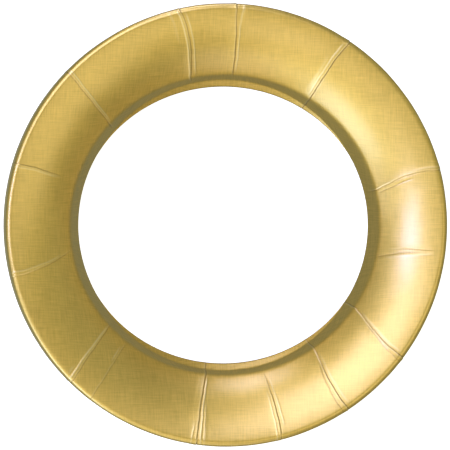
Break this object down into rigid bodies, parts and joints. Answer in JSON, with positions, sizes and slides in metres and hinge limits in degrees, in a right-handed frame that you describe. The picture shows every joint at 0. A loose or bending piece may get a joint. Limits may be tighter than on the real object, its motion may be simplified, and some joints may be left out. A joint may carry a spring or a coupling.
{
  "type": "wreath frame",
  "caption": "Foam wreath ring with a flat back and a face that slopes in to the hole, covered in gold satin that is tucked along radial folds and hemmed under card.",
  "frame": {"origin": "middle of the flat back, on the face that the frame rests on", "axes": "+Z along the axis of the ring, out of the sloping face; the slightly oval hole is longest along X"},
  "size_m": [0.3, 0.3, 0.04],
  "materials": {
    "foam": "matte",
    "satin": "satin",
    "pin_wire": "satin",
    "glue": "satin",
    "card": "matte"
  },
  "bodies": {
    "root": {"foam_core": "foam", "satin_cover": "satin", "outer_hem_pins": "pin_wire", "inner_hem_pins": "pin_wire", "glue_beads": "glue", "backing_ring": "card"}
  },
  "joints": []
}
